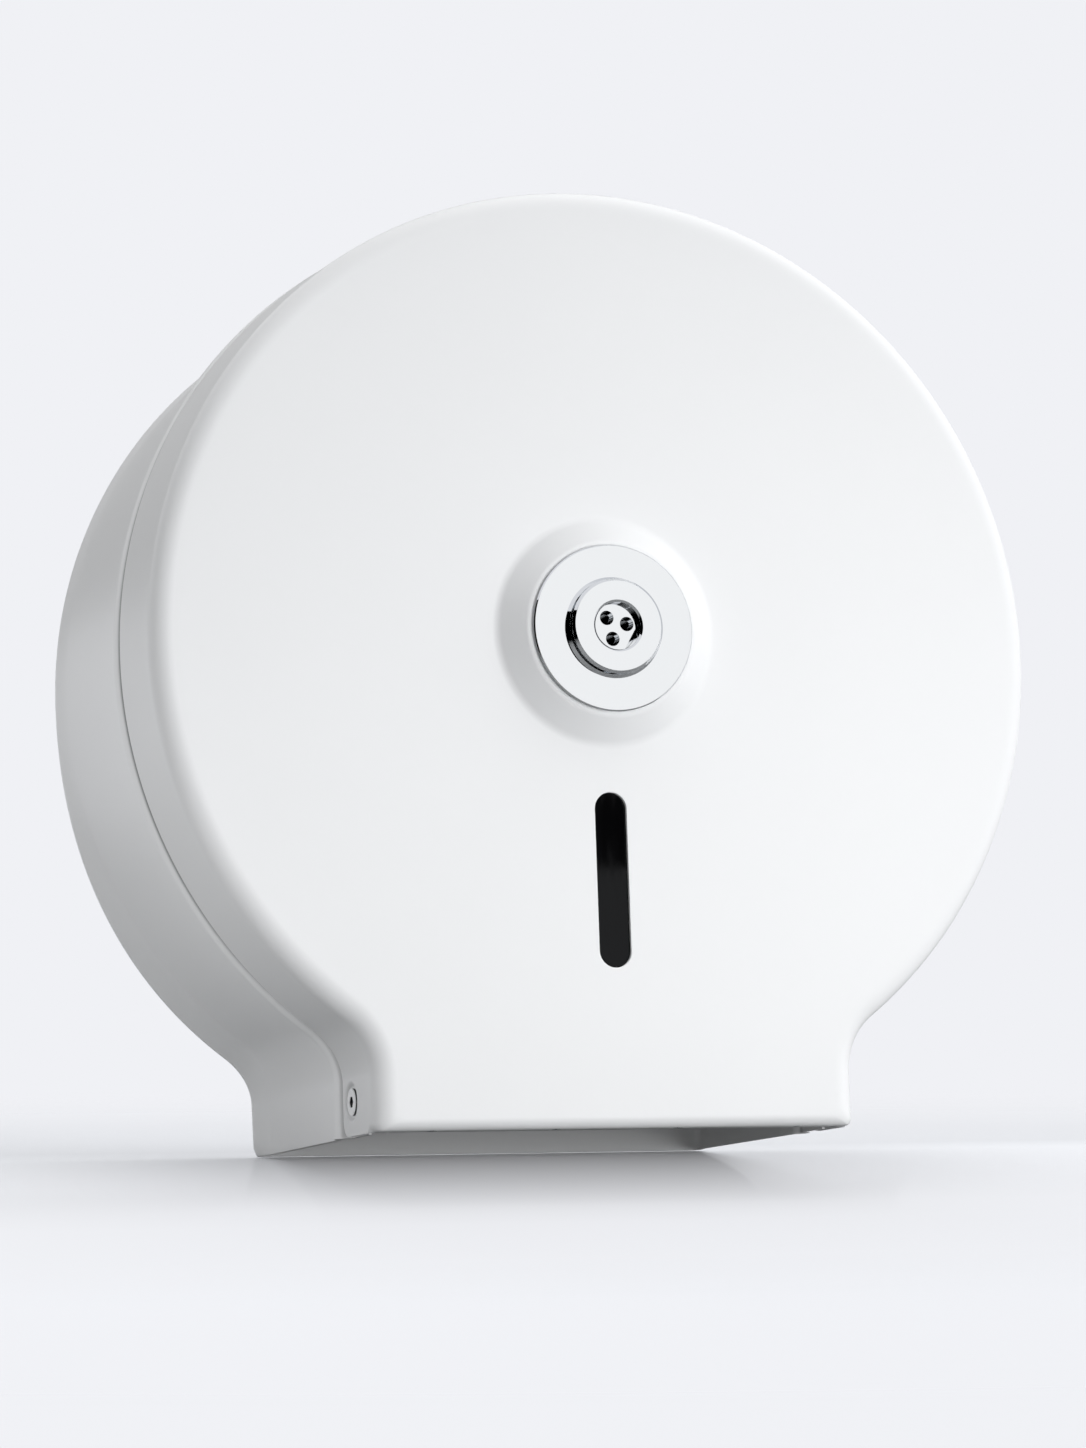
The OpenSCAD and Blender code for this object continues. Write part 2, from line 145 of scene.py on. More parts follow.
class Finishes(bpy.types.PropertyGroup):
    """Colours of the finishes, as sRGB hex values."""

    paint: StringProperty(
        name="Powder coat", description="Colour of the white powder coat", default="#e9eaeb")
    plate: StringProperty(
        name="Zinc plate", description="Colour of the plated steel", default="#b9bbbf")
    chrome: StringProperty(
        name="Chrome", description="Colour of the polished chrome", default="#dfe1e3")
    blade: StringProperty(
        name="Blade", description="Colour of the stainless strip", default="#c3c5c7")
    plastic: StringProperty(
        name="Carrier plastic", description="Colour of the moulded carrier", default="#8b8f93")
    # the window is smoked, and its near-black tone is also painted shade for the inside behind the slot
    window: StringProperty(
        name="Window", description="Colour of the smoked window", default="#050506")
    backdrop: StringProperty(
        name="Backdrop", description="Colour that the camera sees behind the object",
        default="#f0f1f5")
    floor: StringProperty(
        name="Floor", description="Colour of the pale floor", default="#e0e2e6")


class StageSettings(bpy.types.PropertyGroup):
    """Camera, floor and light."""

    place: FloatVectorProperty(
        name="Camera place", description="Where the camera stands",
        default=(-0.48849, -1.42428, -0.22689), subtype="TRANSLATION", unit="LENGTH")
    turn: FloatVectorProperty(
        name="Camera turn", description="Turn to the right, tilt up and roll of the camera",
        default=(math.radians(19.91), math.radians(8.34), math.radians(-1.91)), subtype="EULER")
    lens: FloatProperty(
        name="Lens", description="Focal length for a 36 mm long side",
        default=111.68, unit="CAMERA")
    floor_tilt: FloatProperty(
        name="Floor tilt", description="How far the floor falls away towards the front",
        default=math.radians(5.0), subtype="ANGLE")
    floor_dip: FloatProperty(
        name="Floor dip",
        description="How much lower the floor lies in front, where the open cover needs room",
        default=0.022, min=0.0, max=0.05, unit="LENGTH")
    fill: FloatProperty(
        name="Fill", description="Strength of the soft light as a whole", default=1.0)


# soft light of the studio: name, direction it comes from, strength and tint
SOFTBOXES = (
    ("top back", (0.1, 0.5, 1), 2.25, "#ffffff"),
    ("top front", (0, -0.25, 1), 1.55, "#ffffff"),
    ("right", (1, -0.4, 0.6), 1.3, "#ffffff"),
    ("front right", (0.45, -0.89, 0), 1.0, "#fbfcff"),
    ("left", (-1, 0.35, 0), 1.45, "#ffffff"),
)

# lamps: name, place, the point that they are aimed at, size and power in watts
LAMPS = (
    ("right lamp", (0.6, -1.1, 0.05), (0, -0.13, 0), 0.5, 2.0),
    ("low lamp", (0.2, -0.75, -0.19), (0, -0.13, -0.13), 0.2, 2.2),
    ("side lamp", (-0.26, -0.17, -0.12), (-0.09, -0.09, -0.12), 0.08, 0.052),
    ("inner lamp", (-0.3, -0.45, -0.196), (0.05, 0, -0.145), 0.03, 0.25),
)

# cards that show in reflections alone: name, centre, width and height, aim, and tone; the first three
# are aimed at the middle of the lock's disc
LOCK_FRONT = (0, -0.143, 0.0035)
CARDS = (
    ("left card", (-1.2, -0.8, 0), (1.9, 1.8), LOCK_FRONT, "black"),
    ("camera card", (-0.75, -1.75, 0), (1.4, 1.8), LOCK_FRONT, "black"),
    ("low card", (0.2, -1.7, -0.55), (0.5, 0.8), LOCK_FRONT, "black"),
    ("back card", (-0.1, 0.8, 0.56), (1.3, 0.68), (-0.1, 0, 0.56), "black"),
    ("bright card", (0.5, -1.35, 0.53), (1.0, 0.8), (0.5, 0, 0.53), "white"),
    ("level card", (0.5, -1.35, 0.1035), (1.0, 0.053), (0.5, 0, 0.1035), "black"),
    ("foot card", (0.5, -1.35, -0.0235), (1.0, 0.2), (0.5, 0, -0.0235), "grey"),
)


# ---- colours and nodes ----


def linear(code):
    """Linear colour of an sRGB hex value."""
    levels = [int(code[i:i + 2], 16) / 255 for i in (1, 3, 5)]
    return tuple(v / 12.92 if v <= 0.04045 else ((v + 0.055) / 1.055) ** 2.4 for v in levels) + (1.0,)


def scaled(colour, factor, top=1.0):
    """A linear colour made paler or darker, up to the top level."""
    return tuple(min(v * factor, top) for v in colour[:3]) + (1.0,)


def add(tree, kind, inputs=None, **settings):
    """Adds one node, sets its properties, and fills or links its inputs."""
    made = tree.nodes.new(kind)
    for key, value in settings.items():
        setattr(made, key, value)
    for key, value in (inputs or {}).items():
        if isinstance(value, bpy.types.NodeSocket):
            tree.links.new(value, made.inputs[key])
        else:
            made.inputs[key].default_value = value
    return made


def new_material(name):
    """An empty material, its node tree, and object coordinates in millimetres."""
    made = bpy.data.materials.new(name)
    made.use_nodes = True
    tree = made.node_tree
    tree.nodes.clear()
    coords = add(tree, "ShaderNodeTexCoord")
    mm = add(tree, "ShaderNodeMapping", {
        "Vector": coords.outputs["Object"], "Scale": (1000, 1000, 1000)})
    return made, tree, mm.outputs["Vector"]


def powder_coat(name, code, socket=0.0):
    """Epoxy-polyester powder coat on steel, baked to a satin: the eye sees a nearly even white with a
    very fine orange peel that softens every highlight, and a faint cloudiness where it is thicker. Painted
    shade darkens the groove at the seam, less of it low down. On a screw, painted shade darkens the
    socket, which lies nearer the middle than `socket`."""
    made, tree, mm = new_material(name)
    # real peel has waves of 1 to 2 mm; they are drawn at 1.6 mm
    peel = add(tree, "ShaderNodeTexNoise", {
        "Vector": mm, "Scale": 1 / 1.6, "Detail": 2.0, "Roughness": 0.45})
    grain = add(tree, "ShaderNodeTexNoise", {"Vector": mm, "Scale": 1 / 0.35, "Detail": 1.0})
    cloud = add(tree, "ShaderNodeTexNoise", {"Vector": mm, "Scale": 1 / 70, "Detail": 3.0})
    base = linear(code)
    tint = add(tree, "ShaderNodeMix", {
        "Factor": cloud.outputs["Fac"], "A": scaled(base, 0.985), "B": scaled(base, 1.012, 0.93)},
        data_type="RGBA")
    gloss = add(tree, "ShaderNodeMapRange", {
        "Value": grain.outputs["Fac"], "From Min": 0.3, "From Max": 0.7, "To Min": 0.33, "To Max": 0.4})
    waves = add(tree, "ShaderNodeBump", {
        "Height": peel.outputs["Fac"], "Strength": 0.10, "Distance": 0.00012})
    fine = add(tree, "ShaderNodeBump", {
        "Height": grain.outputs["Fac"], "Strength": 0.05, "Distance": 0.00004, "Normal": waves.outputs[0]})
    # painted shade in the groove at the seam, 97 to 100 mm from the wall, less of it low down
    place = add(tree, "ShaderNodeSeparateXYZ", {0: mm})
    groove = add(tree, "ShaderNodeMapRange", {
        "Value": place.outputs["Y"], "From Min": -96.3, "From Max": -97.4}, interpolation_type="SMOOTHSTEP")
    past = add(tree, "ShaderNodeMath", {0: place.outputs["Y"], 1: -100.3}, operation="GREATER_THAN")
    high = add(tree, "ShaderNodeMapRange", {
        "Value": place.outputs["Z"], "From Min": -110.0, "From Max": -70.0, "To Min": 0.35})
    held = add(tree, "ShaderNodeMath", {0: groove.outputs[0], 1: high.outputs[0]}, operation="MULTIPLY")
    seam_shade = add(tree, "ShaderNodeMath", {0: held.outputs[0], 1: past.outputs[0]}, operation="MULTIPLY")
    shaded_tint = add(tree, "ShaderNodeMix", {
        "Factor": seam_shade.outputs[0], "A": tint.outputs["Result"], "B": linear(SEAM_SHADE)}, data_type="RGBA")
    # painted shade in a screw's socket, the part nearer the middle than `socket`
    if socket:
        across = add(tree, "ShaderNodeMath", {0: place.outputs["X"]}, operation="ABSOLUTE")
        inside = add(tree, "ShaderNodeMath", {0: across.outputs[0], 1: socket / MM}, operation="LESS_THAN")
        shaded_tint = add(tree, "ShaderNodeMix", {
            "Factor": inside.outputs[0], "A": shaded_tint.outputs["Result"], "B": linear(SOCKET_SHADE)},
            data_type="RGBA")
    skin = add(tree, "ShaderNodeBsdfPrincipled", {
        "Base Color": shaded_tint.outputs["Result"], "Roughness": gloss.outputs[0], "IOR": 1.5,
        "Normal": fine.outputs[0]})
    add(tree, "ShaderNodeOutputMaterial", {"Surface": skin.outputs[0]})
    return made


def plated_steel(name, code):
    """Bright zinc plate on pressed or turned steel: a bluish grey metal, a little cloudy, with fine
    crystals that break up its reflections."""
    made, tree, mm = new_material(name)
    # the crystals of bright zinc are well under 1 mm; they are drawn at 1.2 mm
    crystal = add(tree, "ShaderNodeTexVoronoi", {"Vector": mm, "Scale": 1 / 1.2})
    cloud = add(tree, "ShaderNodeTexNoise", {"Vector": mm, "Scale": 1 / 9, "Detail": 4.0})
    base = linear(code)
    tint = add(tree, "ShaderNodeMix", {
        "Factor": cloud.outputs["Fac"], "A": scaled(base, 0.86), "B": base}, data_type="RGBA")
    gloss = add(tree, "ShaderNodeMapRange", {
        "Value": crystal.outputs["Distance"], "To Min": 0.24, "To Max": 0.36})
    bump = add(tree, "ShaderNodeBump", {
        "Height": crystal.outputs["Distance"], "Strength": 0.08, "Distance": 0.00005})
    skin = add(tree, "ShaderNodeBsdfPrincipled", {
        "Base Color": tint.outputs["Result"], "Metallic": 1.0, "Roughness": gloss.outputs[0],
        "Normal": bump.outputs[0]})
    add(tree, "ShaderNodeOutputMaterial", {"Surface": skin.outputs[0]})
    return made


def polished_chrome(name, code):
    """Polished chrome plate on brass: mirrors the room almost sharply, with a slight waviness from
    polishing and a breath of haze from handling."""
    made, tree, mm = new_material(name)
    wave = add(tree, "ShaderNodeTexNoise", {"Vector": mm, "Scale": 1 / 6, "Detail": 1.0})
    haze = add(tree, "ShaderNodeTexNoise", {"Vector": mm, "Scale": 1 / 3, "Detail": 5.0})
    gloss = add(tree, "ShaderNodeMapRange", {
        "Value": haze.outputs["Fac"], "From Min": 0.35, "From Max": 0.75, "To Min": 0.02, "To Max": 0.045})
    bump = add(tree, "ShaderNodeBump", {
        "Height": wave.outputs["Fac"], "Strength": 0.05, "Distance": 0.0001})
    skin = add(tree, "ShaderNodeBsdfPrincipled", {
        "Base Color": linear(code), "Metallic": 1.0, "Roughness": gloss.outputs[0],
        "Normal": bump.outputs[0]})
    add(tree, "ShaderNodeOutputMaterial", {"Surface": skin.outputs[0]})
    return made


def brushed_strip(name, code):
    """Cold-rolled stainless strip, brushed along its length: fine lines along x that stretch each
    highlight across them."""
    made, tree, mm = new_material(name)
    # brush lines are 0.05 mm apart; they are drawn 0.25 mm apart so that they show
    along = add(tree, "ShaderNodeMapping", {"Vector": mm, "Scale": (0.02, 1 / 0.25, 1 / 0.25)})
    lines = add(tree, "ShaderNodeTexNoise", {"Vector": along.outputs[0], "Scale": 1.0, "Detail": 3.0})
    gloss = add(tree, "ShaderNodeMapRange", {
        "Value": lines.outputs["Fac"], "From Min": 0.3, "From Max": 0.7, "To Min": 0.22, "To Max": 0.38})
    bump = add(tree, "ShaderNodeBump", {
        "Height": lines.outputs["Fac"], "Strength": 0.15, "Distance": 0.00003})
    skin = add(tree, "ShaderNodeBsdfPrincipled", {
        "Base Color": linear(code), "Metallic": 1.0, "Roughness": gloss.outputs[0],
        "Normal": bump.outputs[0]})
    add(tree, "ShaderNodeOutputMaterial", {"Surface": skin.outputs[0]})
    return made


def moulded_plastic(name, code):
    """Injection-moulded polypropylene with a spark-eroded grain: an even mid grey with a dull sheen
    and a tiny pitted texture."""
    made, tree, mm = new_material(name)
    # the mould's grain is 0.2 mm; it is drawn at 0.5 mm
    grain = add(tree, "ShaderNodeTexNoise", {"Vector": mm, "Scale": 1 / 0.5, "Detail": 2.0})
    flow = add(tree, "ShaderNodeTexNoise", {"Vector": mm, "Scale": 1 / 25, "Detail": 2.0})
    base = linear(code)
    tint = add(tree, "ShaderNodeMix", {
        "Factor": flow.outputs["Fac"], "A": scaled(base, 0.93), "B": scaled(base, 1.05)},
        data_type="RGBA")
    bump = add(tree, "ShaderNodeBump", {
        "Height": grain.outputs["Fac"], "Strength": 0.25, "Distance": 0.00006})
    skin = add(tree, "ShaderNodeBsdfPrincipled", {
        "Base Color": tint.outputs["Result"], "Roughness": 0.48, "IOR": 1.49, "Normal": bump.outputs[0]})
    add(tree, "ShaderNodeOutputMaterial", {"Surface": skin.outputs[0]})
    return made


def smoked_acrylic(name, code):
    """Dark smoked acrylic with a polished face: black at a glance, with a clear reflection of the room
    and a few faint streaks from wiping. Its near-black tone is also painted shade, standing for the
    shaded inside behind the level slot."""
    made, tree, mm = new_material(name)
    streak = add(tree, "ShaderNodeMapping", {"Vector": mm, "Scale": (1 / 2, 1, 1 / 16)})
    wipe = add(tree, "ShaderNodeTexNoise", {"Vector": streak.outputs[0], "Scale": 1.0, "Detail": 3.0})
    gloss = add(tree, "ShaderNodeMapRange", {
        "Value": wipe.outputs["Fac"], "From Min": 0.4, "From Max": 0.8, "To Min": 0.03, "To Max": 0.08})
    skin = add(tree, "ShaderNodeBsdfPrincipled", {
        "Base Color": linear(code), "Roughness": gloss.outputs[0], "IOR": 1.49})
    add(tree, "ShaderNodeOutputMaterial", {"Surface": skin.outputs[0]})
    return made


def finish(name, make, *values):
    """The material of that name, made once."""
    return bpy.data.materials.get(name) or make(name, *values)


def paint_nodes(names, material):
    """Gives the nodes of the frame their material."""
    for name in names:
        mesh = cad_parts[name].data
        mesh.materials.clear()
        mesh.materials.append(material)


# ---- building with bmesh ----


def spun(bm, vert, centre, angle, steps):
    """Spins one vertex about a line along y and returns the new vertices in order."""
    before = len(bm.verts)
    bmesh.ops.spin(bm, geom=[vert], cent=centre, axis=(0, 1, 0), angle=angle, steps=steps)
    bm.verts.ensure_lookup_table()
    return list(bm.verts)[before:]


def run(bm, vert, step, count):
    """Extrudes one vertex by equal steps and returns the new vertices in order."""
    made = []
    for _ in range(count):
        vert = bmesh.ops.extrude_vert_indiv(bm, verts=[vert])["verts"][0]
        bmesh.ops.translate(bm, verts=[vert], vec=step)
        made.append(vert)
    return made


def edges_of(bm, verts):
    """The edges along a row of vertices."""
    return [bm.edges.get(pair) or bm.edges.new(pair) for pair in zip(verts, verts[1:])]


def next_row(bm, row, places):
    """Extrudes a row of vertices and puts the new row at the given places."""
    made = bmesh.ops.extrude_edge_only(bm, edges=edges_of(bm, row))["geom"]
    fresh = {v for v in made if isinstance(v, bmesh.types.BMVert)}
    after = [next(e.other_vert(v) for e in v.link_edges if e.other_vert(v) in fresh) for v in row]
    for v, place in zip(after, places):
        v.co = place
    return after


def drop_loose(bm):
    """Removes edges and vertices that carry no face."""
    bmesh.ops.delete(bm, geom=[e for e in bm.edges if not e.link_faces], context="EDGES")
    bmesh.ops.delete(bm, geom=[v for v in bm.verts if not v.link_faces], context="VERTS")


def whole_skin(bm, way):
    """Mirrors the right half to the left, joins both along the middle and points the faces outwards: the
    largest flat one then looks towards +y for way 1, and towards -y for way -1."""
    drop_loose(bm)
    bmesh.ops.mirror(bm, geom=bm.verts[:] + bm.edges[:] + bm.faces[:],
                     matrix=Matrix.Identity(4), merge_dist=1e-5, axis="X")
    bmesh.ops.remove_doubles(bm, verts=bm.verts, dist=2e-6)
    bmesh.ops.recalc_face_normals(bm, faces=bm.faces)
    flat = max((f for f in bm.faces if abs(f.normal.y) > 0.999), key=lambda f: f.calc_area())
    if flat.normal.y * way < 0:
        bmesh.ops.reverse_faces(bm, faces=bm.faces)
    return bm


def smooth_object(name, bm, material):
    """Turns a bmesh into a smooth object with one material."""
    mesh = bpy.data.meshes.new(name)
    bm.to_mesh(mesh)
    bm.free()
    mesh.materials.append(material)
    for face in mesh.polygons:
        face.use_smooth = True
    made = bpy.data.objects.new(name, mesh)
    bpy.context.scene.collection.objects.link(made)
    return made


def piece(name, bm, body, replaced, material):
    """Turns a bmesh into a finished piece that rides on a body and stands for its nodes."""
    made = smooth_object(name, bm, material)
    made.data.set_sharp_from_angle(angle=SHARP)
    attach(made, body)
    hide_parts(*replaced)
    return made


def thicken(made, thickness):
    """Gives a drawn skin its sheet thickness on the inside and breaks its cut edges."""
    sheet = made.modifiers.new("Sheet", "SOLIDIFY")
    sheet.thickness = thickness
    sheet.offset = -1
    sheet.use_even_offset = True
    cut = made.modifiers.new("Broken edges", "BEVEL")
    cut.width = 0.22 * MM
    cut.segments = 2
    cut.limit_method = "ANGLE"
    cut.angle_limit = math.radians(55)
    cut.use_clamp_overlap = True
    even_shading(made)


def even_shading(made):
    """Keeps flat faces flat where they run into rounded edges."""
    even = made.modifiers.new("Even shading", "WEIGHTED_NORMAL")
    even.keep_sharp = True


def turned(profile, rise, edge):
    """A closed shape turned about the lock's axis, with its hard edges broken. The profile is pairs of
    radius and depth from the wall."""
    bm = bmesh.new()
    ring = [bm.verts.new((0, -depth, rise + radius)) for radius, depth in profile]
    wires = edges_of(bm, ring + ring[:1])
    bmesh.ops.spin(bm, geom=ring + wires, cent=(0, 0, rise), axis=(0, 1, 0),
                   angle=2 * math.pi, steps=128, use_merge=True)
    bmesh.ops.remove_doubles(bm, verts=bm.verts, dist=1e-7)
    bmesh.ops.recalc_face_normals(bm, faces=bm.faces)
    hard = [e for e in bm.edges if len(e.link_faces) == 2 and e.calc_face_angle() > math.radians(35)]
    bmesh.ops.bevel(bm, geom=hard, offset=edge, offset_type="OFFSET", segments=3, profile=0.5,
                    affect="EDGES", clamp_overlap=True, material=-1)
    return bm


# ---- outline of the casing ----


def soft_step(t):
    """Eases from 0 to 1 while t goes from 0 to 1."""
    t = min(max(t, 0.0), 1.0)
    return t * t * (3 - 2 * t)


class Way:
    """Where one point of the outline lies and how it moves when the outline shrinks: its way out, and
    its share of the lift at the foot, of the bottom edge's radius, of the inset and draft of the round
    part, and of the rear swell. `straight` is its place with the corner at the foot left square."""

    def __init__(self, place, out, up=0.0, foot=0.0, draft=0.0, swell=0.0, straight=None):
        self.place = Vector(place)
        self.out = Vector(out)
        self.up = up
        self.foot = foot
        self.draft = draft
        self.swell = swell
        self.straight = Vector(straight) if straight else self.place

    def at(self, side, up, depth, straight=False):
        """The point moved in by `side`, lifted by `up` at the foot, at a depth from the wall."""
        start = self.straight if straight else self.place
        moved = start - self.out * side + Vector((0, 0, 1)) * self.up * up
        return Vector((moved.x, -depth, moved.z))


def half_outline(bm, s, corner):
    """Draws the right half of the outline on the wall plane, from the top to the foot of the neck, and
    with a corner radius on to the middle of the bottom edge. Returns its row of vertices, how each
    moves, and the places in the row where the blend and the corner end."""
    reach = s.radius + s.blend
    centre = Vector((ACROSS * reach, 0, -DOWN * reach))
    width = centre.x - s.blend
    turn = math.atan2(DOWN, ACROSS)
    # round part
    row = [bm.verts.new((0, 0, s.radius))]
    row += spun(bm, row[-1], (0, 0, 0), math.pi / 2 + turn, 96)
    ways = [Way(v.co, v.co.normalized(), draft=1.0, swell=soft_step(-v.co.z / s.radius / DOWN))
            for v in row]
    # blend, which curves the other way
    blend = spun(bm, row[-1], centre, -turn, 20)
    for i, v in enumerate(blend):
        eased = soft_step((i + 1) / len(blend))
        ways.append(Way(v.co, (centre - v.co).normalized(), draft=1 - eased, swell=1 - 0.45 * eased))
    row += blend
    blend_end = len(row) - 1
    # neck
    neck = s.drop + centre.z - corner
    steps = len(NECK_SWELL)
    straight = run(bm, row[-1], (0, 0, -neck / steps), steps)
    for i, v in enumerate(straight):
        ways.append(Way(v.co, (1, 0, 0), up=(i + 1) / steps, swell=NECK_SWELL[i]))
    row += straight
    if not corner:
        return row, ways, blend_end, len(row) - 1
    # corner at the foot
    bend = spun(bm, row[-1], (width - corner, 0, corner - s.drop), math.pi / 2, 6)
    for i, v in enumerate(bend):
        angle = math.pi / 2 * (i + 1) / 6
        ways.append(Way(v.co, (1, 0, 0), up=1.0, foot=(i + 1) / 6,
                        straight=(width, 0, corner - s.drop - corner * math.sin(angle))))
    row += bend
    corner_end = len(row) - 1
    # bottom edge: two short steps, with the hem's relief along the second, and then on to the middle
    inner = width - corner
    relief = 1.8 * MM
    bottom = run(bm, row[-1], (-relief, 0, 0), 2)
    bottom += run(bm, bottom[-1], (-(inner - 2 * relief) / 10, 0, 0), 10)
    bottom[-1].co.x = 0
    for v in bottom:
        ways.append(Way(v.co, (v.co.x / inner, 0, 0), up=1.0, foot=1.0))
    row += bottom
    return row, ways, blend_end, corner_end


# ---- drawn shells ----


def dimple(bm, width, height, depth):
    """The round dish for a hinge screw in the cover's right flank. Returns its outer edges."""
    # radius and depth under the flank, in millimetres
    profile = [(6.75, 0), (6.5, 0.02), (6.2, 0.08), (5.95, 0.17), (5.7, 0.3), (5.5, 0.48), (5.25, 0.76),
               (5.0, 0.94), (4.7, 1.0), (3.05, 1.0)]
    chain = [bm.verts.new((width - sink * MM, -depth, height + radius * MM)) for radius, sink in profile]
    before = set(bm.verts) - set(chain)
    bmesh.ops.spin(bm, geom=chain + edges_of(bm, chain), cent=(0, -depth, height), axis=(1, 0, 0),
                   angle=2 * math.pi, steps=48, use_merge=True)
    made = [v for v in bm.verts if v not in before]
    bmesh.ops.remove_doubles(bm, verts=made, dist=1e-7)
    rim = {v for v in bm.verts if v not in before
           and abs(math.hypot(v.co.y + depth, v.co.z - height) - profile[0][0] * MM) < 1e-6}
    return [e for e in bm.edges if e.verts[0] in rim and e.verts[1] in rim]


def flank(bm, s, column, front, top, corner_end):
    """The flat flank of the neck, with its rounded lower back corner and the dish for the hinge
    screw."""
    back = column[-1]
    level = BACK_CORNER - s.drop
    down = run(bm, back, (0, 0, level - back.co.z), 1)
    before = len(bm.verts)
    bmesh.ops.spin(bm, geom=[down[-1]], cent=(0, -(s.seam + BACK_CORNER), level), axis=(1, 0, 0),
                   angle=-math.pi / 2, steps=8)
    bm.verts.ensure_lookup_table()
    corner = list(bm.verts)[before:]
    edges = edges_of(bm, column + down + corner + [front[corner_end]])
    edges += edges_of(bm, front[top:corner_end + 1])
    edges += dimple(bm, front[corner_end].co.x, HINGE_HEIGHT, HINGE_DEPTH)
    bmesh.ops.triangle_fill(bm, use_beauty=True, use_dissolve=True, edges=edges, normal=(1, 0, 0))


def boss_half(bm, s, k):
    """Right half of the drawn boss with its soft foot and rounded shoulder. Returns its outer edge, from
    the top to the bottom."""
    slope = math.atan2(k.boss_height, k.boss_base - k.boss_top)
    foot_r, shoulder_r = 4 * MM, 2.6 * MM
    top = s.face + k.boss_height
    # from a flat ring on the face up the soft foot, over the rounded shoulder and in to the lock's hole
    chain = [(41 * MM, s.face), (38.6 * MM, s.face)]
    tangent = foot_r * math.tan(slope / 2)
    for i in range(8):
        a = slope * i / 7
        chain.append((k.boss_base + tangent - foot_r * math.sin(a), s.face + foot_r * (1 - math.cos(a))))
    tangent = shoulder_r * math.tan(slope / 2)
    for i in range(8):
        a = slope * (1 - i / 7)
        chain.append((k.boss_top - tangent + shoulder_r * math.sin(a),
                      top - shoulder_r * (1 - math.cos(a))))
    chain += [(26.3 * MM, top), (18 * MM, top), (9.6 * MM, top)]
    wire = [bm.verts.new((0, -depth, k.rise + radius)) for radius, depth in chain]
    before = set(bm.verts) - set(wire)
    bmesh.ops.spin(bm, geom=wire + edges_of(bm, wire), cent=(0, 0, k.rise), axis=(0, 1, 0),
                   angle=math.pi, steps=72)
    outer = [v for v in bm.verts if v not in before
             and abs(math.hypot(v.co.x, v.co.z - k.rise) - chain[0][0]) < 1e-6]
    return sorted(outer, key=lambda v: -v.co.z)


def slot_half(bm, s):
    """Right half of the edge of the level slot, with a flat border. Returns the border, top to bottom."""
    drop, length, width, border = -74 * MM, 54.5 * MM, 10.5 * MM, 0.6 * MM
    straight = (length - width) / 2
    radius = width / 2
    border_row = [bm.verts.new((0, -s.face, drop + straight + radius + border))]
    border_row += spun(bm, border_row[-1], (0, 0, drop + straight), math.pi / 2, 14)
    border_row += run(bm, border_row[-1], (0, 0, -2 * straight), 1)
    border_row += spun(bm, border_row[-1], (0, 0, drop - straight), math.pi / 2, 14)
    border_row[-1].co.x = 0
    places = []
    for v in border_row:
        centre = Vector((0, v.co.y, min(max(v.co.z, drop - straight), drop + straight)))
        places.append(centre + (v.co - centre).normalized() * radius)
    next_row(bm, border_row, places)
    return border_row


def cover_skin(s, k):
    """Outer skin of the drawn cover: its flank, rounded edges, face, boss, slot and turned-in hem."""
    bm = bmesh.new()
    rim, ways, blend_end, corner_end = half_outline(bm, s, FRONT_CORNER)
    narrow = 0.3 * MM

    def radius(way):
        return s.edge + (s.foot_edge - s.edge) * way.foot

    def round_row(turn, extra=0.0):
        inwards = 1 - math.cos(turn)
        return [w.at(s.edge * inwards + narrow * w.draft + extra, s.foot_edge * inwards + extra,
                     s.face - radius(w) * (1 - math.sin(turn))) for w in ways]

    # rounded front edge, and a narrow flat border that its shading ends on
    for v, place in zip(rim, round_row(0)):
        v.co = place
    row = rim
    for i in range(1, 11):
        row = next_row(bm, row, round_row(math.pi / 2 * i / 10))
    row = next_row(bm, row, round_row(math.pi / 2, 0.5 * MM))
    boss = boss_half(bm, s, k)
    slot = slot_half(bm, s)
    loop = edges_of(bm, row) + edges_of(bm, boss) + edges_of(bm, slot)
    for pair in ([row[0], boss[0]], [boss[-1], slot[0]], [slot[-1], row[-1]]):
        loop += edges_of(bm, pair)
    bmesh.ops.triangle_fill(bm, use_beauty=True, use_dissolve=True, edges=loop, normal=(0, -1, 0))

    # the side wall and the turned-in hem run on from the rounded edge, with a small relief between them
    hem_depth = s.face - s.hem
    relief = corner_end + 1
    sides = next_row(bm, rim[:relief + 1], [
        w.at(narrow * w.draft, 0, hem_depth) for w in ways[:relief + 1]])
    next_row(bm, rim[relief + 1:], [w.at(0, 0, hem_depth) for w in ways[relief + 1:]])
    front = next_row(bm, sides[:corner_end + 1], [
        w.at(narrow * w.draft, 0, hem_depth - 1.5 * MM, straight=True) for w in ways[:corner_end + 1]])
    start = hem_depth - 1.5 * MM
    top = blend_end - 1
    column, row = [front[top]], front[:top + 1]
    # the side wall widens towards the seam, in rows that lie closer together there
    for depth in (117.5 * MM, 109.5 * MM, 103.5 * MM, s.seam + 0.4 * MM, s.seam):
        wider = narrow - s.draft * (start - depth) / (start - s.seam)
        row = next_row(bm, row, [w.at(wider * w.draft, 0, depth) for w in ways[:top + 1]])
        column.append(row[-1])
    flank(bm, s, column, front, top, corner_end)
    return whole_skin(bm, -1)


